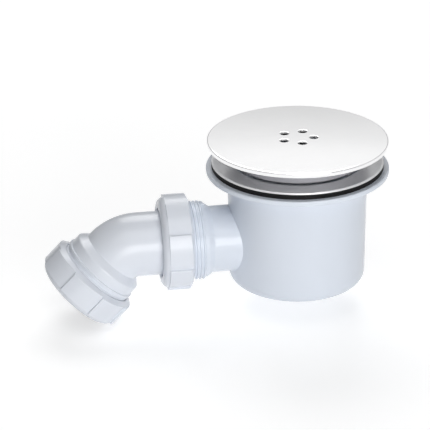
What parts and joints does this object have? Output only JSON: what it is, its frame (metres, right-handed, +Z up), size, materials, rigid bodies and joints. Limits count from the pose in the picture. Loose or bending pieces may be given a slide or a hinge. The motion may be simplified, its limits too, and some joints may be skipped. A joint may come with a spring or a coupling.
{
  "type": "shower trap",
  "caption": "Shower trap: domed cover over a flanged cup with a lift-out water seal inside and a swivelling elbow outlet with a compression socket for waste pipe.",
  "frame": {"origin": "where the axis of the waste meets the clamping plane, the top of the body's flange", "axes": "+Z up along the axis of the waste, outlet along -X, Y across"},
  "size_m": [0.2221, 0.1166, 0.1173],
  "materials": {
    "chrome": "polished",
    "white_plastic": "moulded, satin gloss",
    "grey_plastic": "moulded",
    "black_rubber": "moulded"
  },
  "bodies": {
    "trap": {"cover_plate": "chrome", "cover_collar": "grey_plastic", "waste_flange": "chrome", "tray_seal_upper": "black_rubber", "tray_seal_lower": "black_rubber", "body_flange": "white_plastic", "trap_body": "white_plastic", "outlet_branch": "white_plastic", "trap_insert": "white_plastic", "dip_tube": "white_plastic", "insert_ring": "black_rubber", "seal_cup": "white_plastic", "union_nut": "white_plastic", "union_slip_washer": "grey_plastic", "union_seal": "black_rubber"},
    "swivel_outlet": {"outlet_elbow": "white_plastic", "end_nut": "white_plastic", "end_slip_washer": "grey_plastic", "end_seal": "black_rubber"}
  },
  "joints": [
    {"name": "elbow_swivel", "type": "hinge", "parent": "trap", "child": "swivel_outlet", "pos_m": [-0.087, 0, -0.0474], "axis": [-1, 0, 0], "continuous": true}
  ]
}
